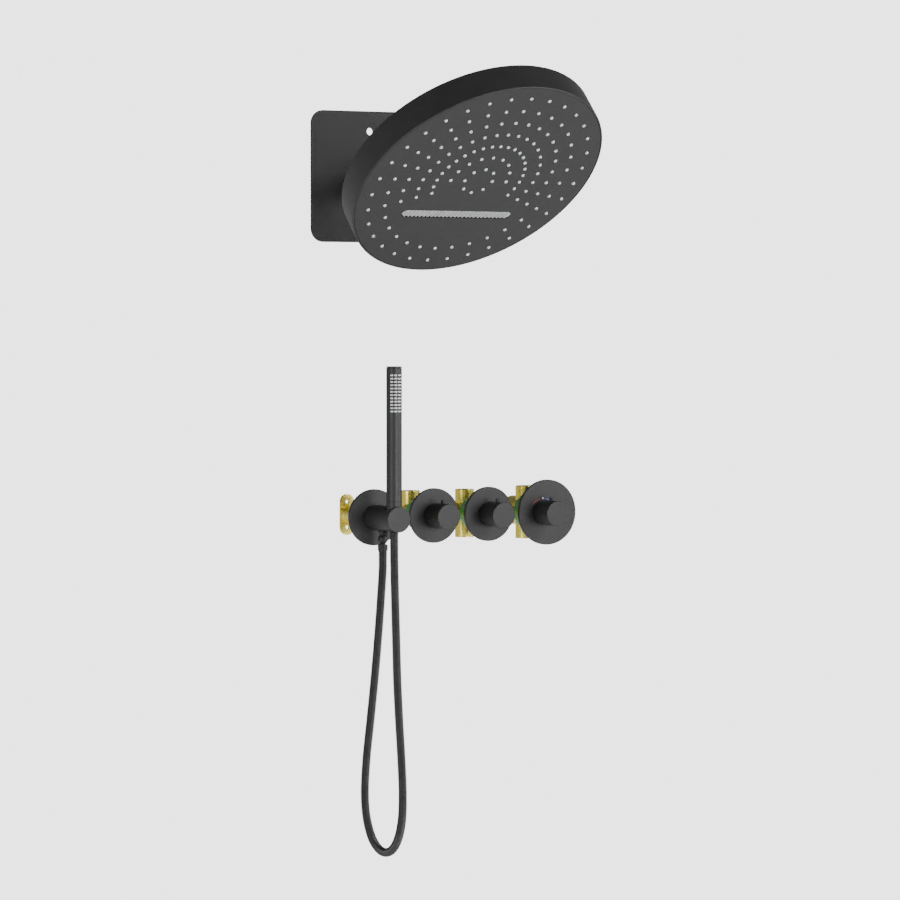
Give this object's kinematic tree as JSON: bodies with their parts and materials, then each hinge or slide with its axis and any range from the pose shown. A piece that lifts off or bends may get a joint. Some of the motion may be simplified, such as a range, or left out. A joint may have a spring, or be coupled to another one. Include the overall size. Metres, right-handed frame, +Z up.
{
  "type": "rainfall shower column",
  "caption": "Wall-mounted shower set: swivelling round rain and waterfall head, concealed valves with knobs, and a stick hand shower with its hose.",
  "frame": {"origin": "centre of the back face of the head's wall plate, on the finished wall's face", "axes": "+X to the right as seen from the room, +Y into the wall, +Z up"},
  "size_m": [0.5164, 0.5333, 1.0881],
  "materials": {
    "matte_black": "matte charcoal black coat on brass and stainless steel",
    "brass": "pale machined brass",
    "green_plastic": "translucent green installation guard",
    "grey_silicone": "light grey silicone",
    "black_rubber": "black sealing rubber",
    "grey_plastic": "dark grey moulded plastic",
    "steel": "polished stainless steel ball",
    "hose_black": "black hose with a fine spiral rib"
  },
  "bodies": {
    "root": {"head_wall_plate": "matte_black", "rain_inlet": "brass", "waterfall_inlet": "brass", "arm_base": "matte_black", "arm_tube": "matte_black", "rain_supply_pipe": "brass", "waterfall_supply_pipe": "brass", "arm_union_nut": "matte_black", "valve_manifold": "brass", "valve_1_guard_sleeve": "green_plastic", "valve_1_cartridge": "grey_plastic", "valve_1_cartridge_nut": "brass", "valve_1_trim_plate": "matte_black", "valve_2_guard_sleeve": "green_plastic", "valve_2_cartridge": "grey_plastic", "valve_2_cartridge_nut": "brass", "valve_2_trim_plate": "matte_black", "thermostat_guard_sleeve": "green_plastic", "thermostat_cartridge": "grey_plastic", "thermostat_cartridge_nut": "brass", "thermostat_trim_plate": "matte_black", "outlet_trim_plate": "matte_black", "wall_connector": "brass", "outlet_nipple": "brass", "hand_holder": "matte_black", "holder_liner": "grey_plastic", "hose_outlet": "matte_black", "hose_nut": "matte_black", "shower_hose": "hose_black"},
    "swivel": {"swivel_ball": "steel"},
    "head": {"ball_seat": "grey_plastic", "ball_gasket": "black_rubber", "ball_cap_nut": "matte_black", "ball_socket": "brass", "head_back_shell": "matte_black", "head_face_plate": "matte_black", "rain_nozzle_mat": "grey_silicone", "rain_chamber": "grey_plastic", "waterfall_box": "grey_plastic", "flow_divider": "grey_plastic", "waterfall_feed": "grey_silicone", "waterfall_spout": "grey_silicone"},
    "valve_1_control": {"valve_1_spindle": "brass", "valve_1_knob": "matte_black", "valve_1_pin": "matte_black"},
    "valve_2_control": {"valve_2_spindle": "brass", "valve_2_knob": "matte_black", "valve_2_pin": "matte_black"},
    "thermostat_control": {"thermostat_spindle": "brass", "thermostat_knob": "matte_black", "thermostat_pin": "matte_black"},
    "hose_end": {"hose_end_fitting": "brass"},
    "wand": {"wand_cone_nut": "matte_black", "wand_tube": "matte_black", "wand_spray_liner": "grey_silicone", "wand_cap": "matte_black", "wand_inlet": "brass", "wand_check_valve": "grey_plastic", "wand_washer": "black_rubber"}
  },
  "joints": [
    {"name": "head_turn", "type": "hinge", "parent": "root", "child": "swivel", "pos_m": [0, -0.2751, 0.0266], "axis": [0, 0.7071, 0.7071], "range_deg": [-20, 20]},
    {"name": "head_tilt", "type": "hinge", "parent": "swivel", "child": "head", "pos_m": [0, -0.2751, 0.0266], "axis": [0.994, 0.1097, 0], "range_deg": [-16, 16]},
    {"name": "valve_1_turn", "type": "hinge", "parent": "root", "child": "valve_1_control", "pos_m": [0.1028, -0.03, -0.482], "axis": [0, -1, 0], "range_deg": [0, 90]},
    {"name": "valve_2_turn", "type": "hinge", "parent": "root", "child": "valve_2_control", "pos_m": [0.1924, -0.03, -0.482], "axis": [0, -1, 0], "range_deg": [0, 90]},
    {"name": "thermostat_turn", "type": "hinge", "parent": "root", "child": "thermostat_control", "pos_m": [0.282, -0.03, -0.482], "axis": [0, -1, 0], "range_deg": [-110, 110]},
    {"name": "wand_lift", "type": "slide", "parent": "root", "child": "hose_end", "axis": [0, 0, 1], "range_m": [0, 0.06]},
    {"name": "wand_turn", "type": "hinge", "parent": "hose_end", "child": "wand", "pos_m": [0.0062, -0.064, -0.4], "axis": [0, 0, 1], "continuous": true}
  ]
}
